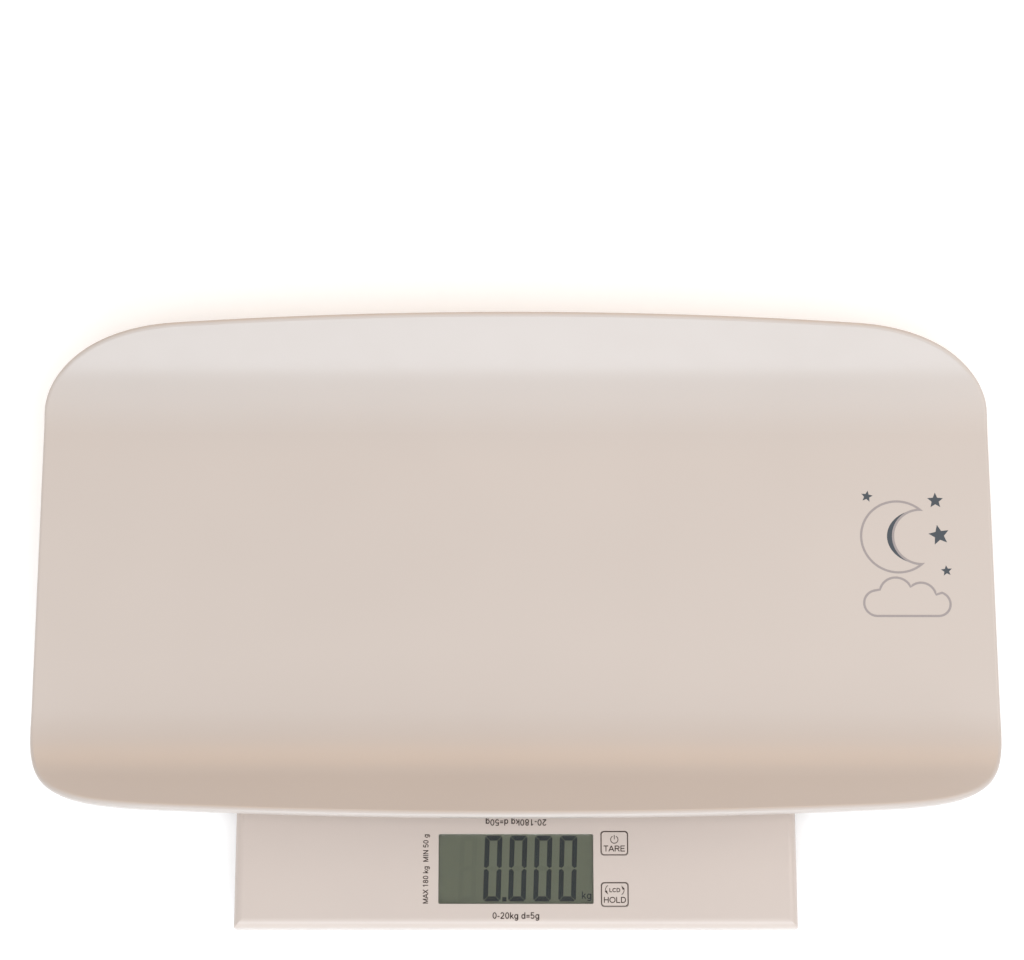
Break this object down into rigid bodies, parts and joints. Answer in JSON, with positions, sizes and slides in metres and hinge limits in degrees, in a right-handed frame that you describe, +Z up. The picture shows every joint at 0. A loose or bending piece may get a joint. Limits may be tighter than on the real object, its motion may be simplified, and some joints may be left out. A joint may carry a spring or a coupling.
{
  "type": "baby scale",
  "caption": "Baby weighing scale: a long curved cradle tray that lifts off a flat square platform with a liquid-crystal display, push keys and a battery bay.",
  "frame": {"origin": "on the floor, under the middle of the whole outline seen from above", "axes": "+X to the right along the tray, +Y to the back, +Z up; the display and keys are at the front, at -Y"},
  "size_m": [0.55, 0.3472, 0.0885],
  "materials": {
    "white_abs": "glossy warm white",
    "key_abs": "glossy white with a dark printed outline",
    "clear_acrylic": "clear, smooth",
    "display_glass": "grey-green reflective liquid crystal",
    "inner_abs": "moulded, matte",
    "foot_abs": "moulded, matte",
    "rubber": "matte",
    "circuit_board": "solder mask",
    "epoxy": "moulded black",
    "plunger_plastic": "matte",
    "cell_steel": "stamped, satin",
    "screw_steel": "zinc plated",
    "battery_can": "printed sleeve, gloss",
    "nickel": "nickel plated",
    "lead_insulation": "PVC"
  },
  "bodies": {
    "base": {"top_shell": "white_abs", "bottom_cover": "white_abs", "lcd_window": "clear_acrylic", "lcd_glass": "display_glass", "lcd_holder": "inner_abs", "cell_holder_front_left": "inner_abs", "cell_holder_front_right": "inner_abs", "cell_holder_back_left": "inner_abs", "cell_holder_back_right": "inner_abs", "foot_front_left": "foot_abs", "foot_front_right": "foot_abs", "foot_back_left": "foot_abs", "foot_back_right": "foot_abs", "foot_pad_front_left": "rubber", "foot_pad_front_right": "rubber", "foot_pad_back_left": "rubber", "foot_pad_back_right": "rubber", "zebra_strips": "rubber", "main_board": "circuit_board", "board_parts": "epoxy", "tare_switch": "epoxy", "hold_switch": "epoxy", "load_cell_front_left": "cell_steel", "load_cell_front_right": "cell_steel", "load_cell_back_left": "cell_steel", "load_cell_back_right": "cell_steel", "casing_screws": "screw_steel", "board_screws": "screw_steel", "holder_screws": "screw_steel", "battery_1": "battery_can", "battery_2": "battery_can", "battery_3": "battery_can", "battery_4": "battery_can", "battery_springs": "nickel", "battery_contacts": "nickel", "lead_back_left": "lead_insulation", "lead_front_left": "lead_insulation", "lead_back_right": "lead_insulation", "lead_front_right": "lead_insulation", "battery_leads": "lead_insulation"},
    "tare_key": {"tare_key": "key_abs", "tare_plunger": "plunger_plastic"},
    "hold_key": {"hold_key": "key_abs", "hold_plunger": "plunger_plastic"},
    "battery_door": {"battery_door": "white_abs"},
    "tray": {"tray": "white_abs", "tray_frame": "white_abs", "tray_screws": "screw_steel", "tray_pad_front_left": "rubber", "tray_pad_front_right": "rubber", "tray_pad_back_left": "rubber", "tray_pad_back_right": "rubber"}
  },
  "joints": [
    {"name": "tare_key_press", "type": "slide", "parent": "base", "child": "tare_key", "axis": [0, 0, -1], "range_m": [0, 0.0005], "stiffness_N_per_m": 400, "springref_m": -0.002},
    {"name": "hold_key_press", "type": "slide", "parent": "base", "child": "hold_key", "axis": [0, 0, -1], "range_m": [0, 0.0005], "stiffness_N_per_m": 400, "springref_m": -0.002},
    {"name": "battery_door_hinge", "type": "hinge", "parent": "base", "child": "battery_door", "pos_m": [0, 0.05015, 0.0082], "axis": [1, 0, 0], "range_deg": [0, 90]},
    {"name": "tray_lift", "type": "slide", "parent": "base", "child": "tray", "axis": [0, 0, 1], "range_m": [0, 0.1]}
  ]
}
